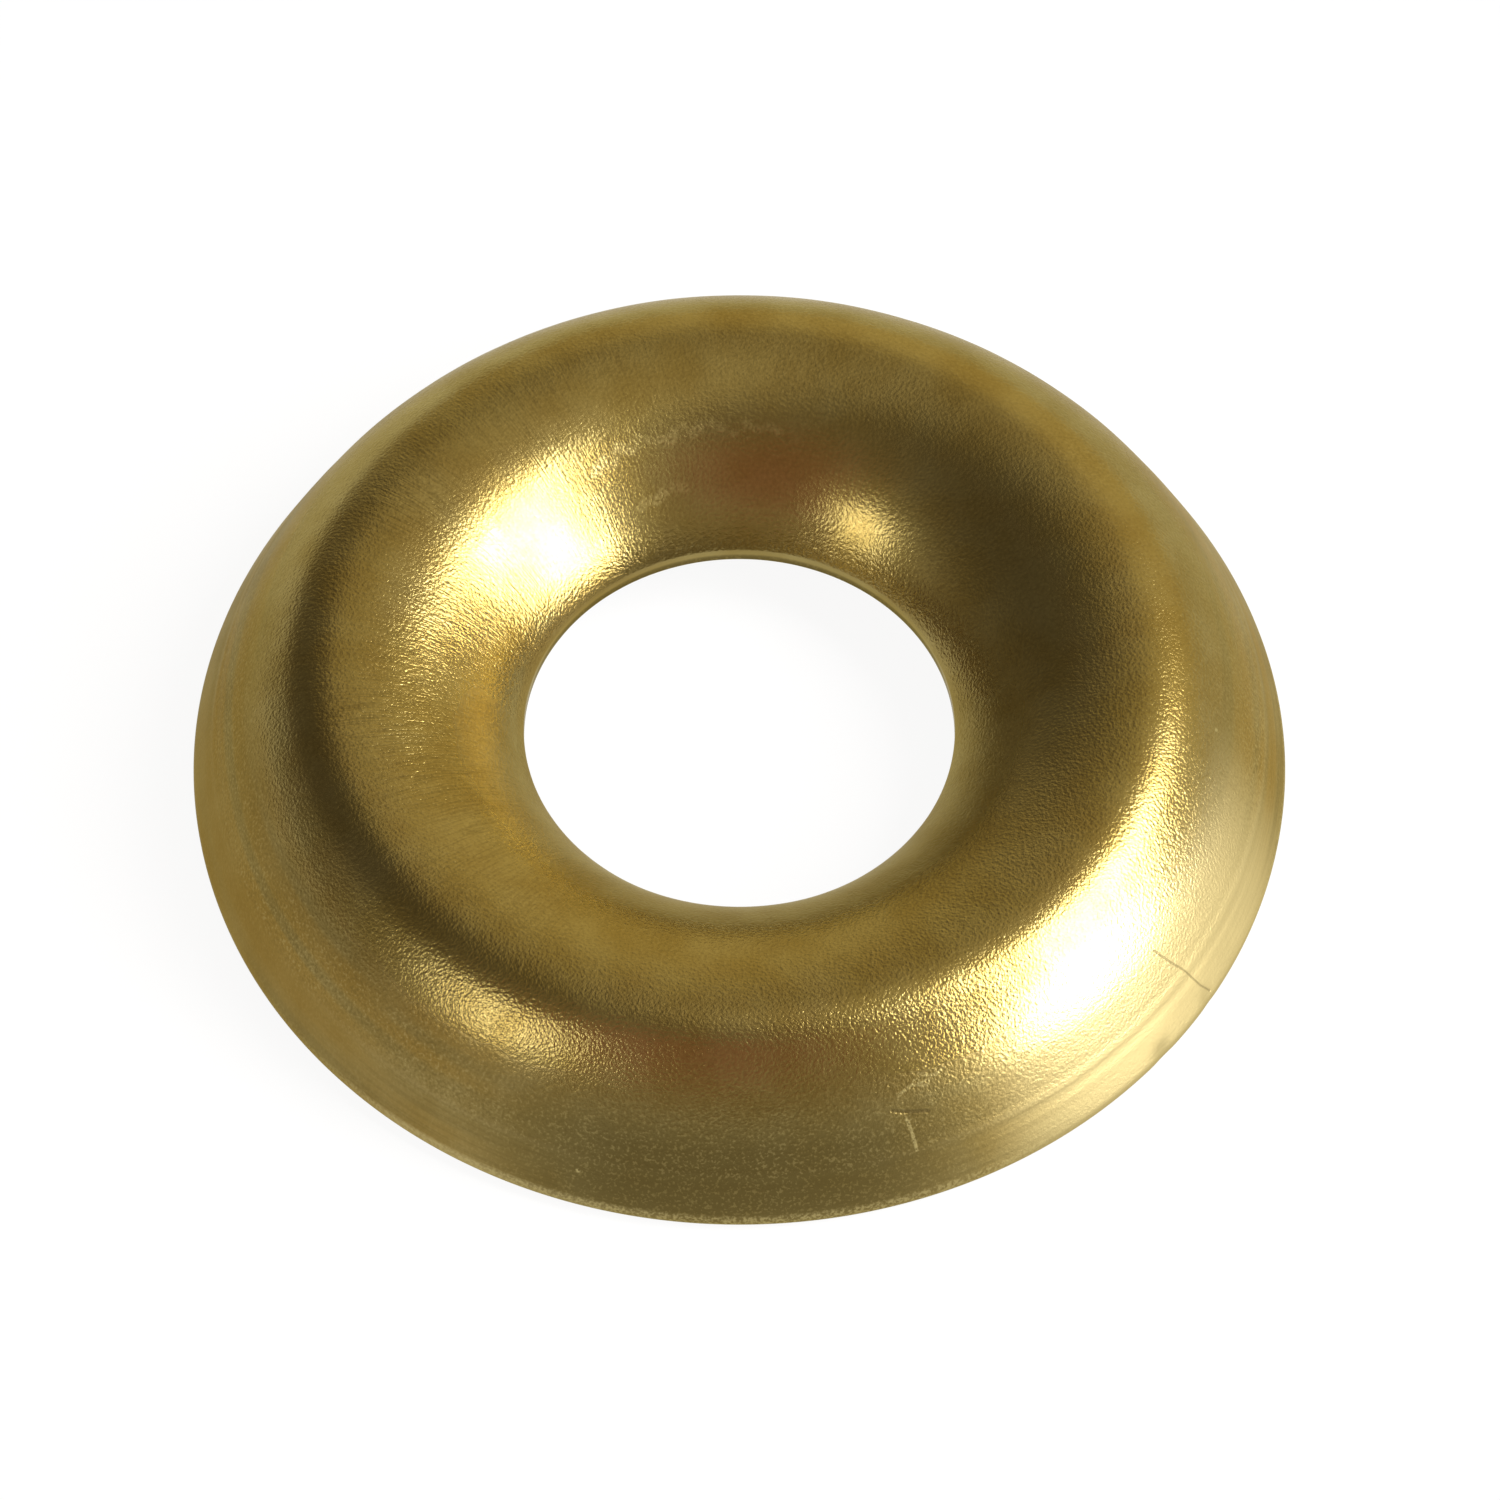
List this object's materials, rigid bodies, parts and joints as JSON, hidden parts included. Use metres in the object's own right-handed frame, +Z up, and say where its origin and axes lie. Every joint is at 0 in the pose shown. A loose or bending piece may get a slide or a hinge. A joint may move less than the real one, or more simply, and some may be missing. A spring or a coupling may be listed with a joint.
{
  "type": "finishing cup washer",
  "caption": "Domed finishing cup washer drawn from thin brass sheet, with a rounded crown, a dished throat and a screw hole, that seats a countersunk screw head.",
  "frame": {"origin": "centre of the washer on the plane of its foot", "axes": "+Z up along the axis of the hole, out of the domed side; X and Y are any two directions across the washer"},
  "size_m": [0.015, 0.015, 0.0026],
  "materials": {
    "brass_sheet": "satin, lightly grained"
  },
  "bodies": {
    "root": {"cup_washer": "brass_sheet"}
  },
  "joints": []
}
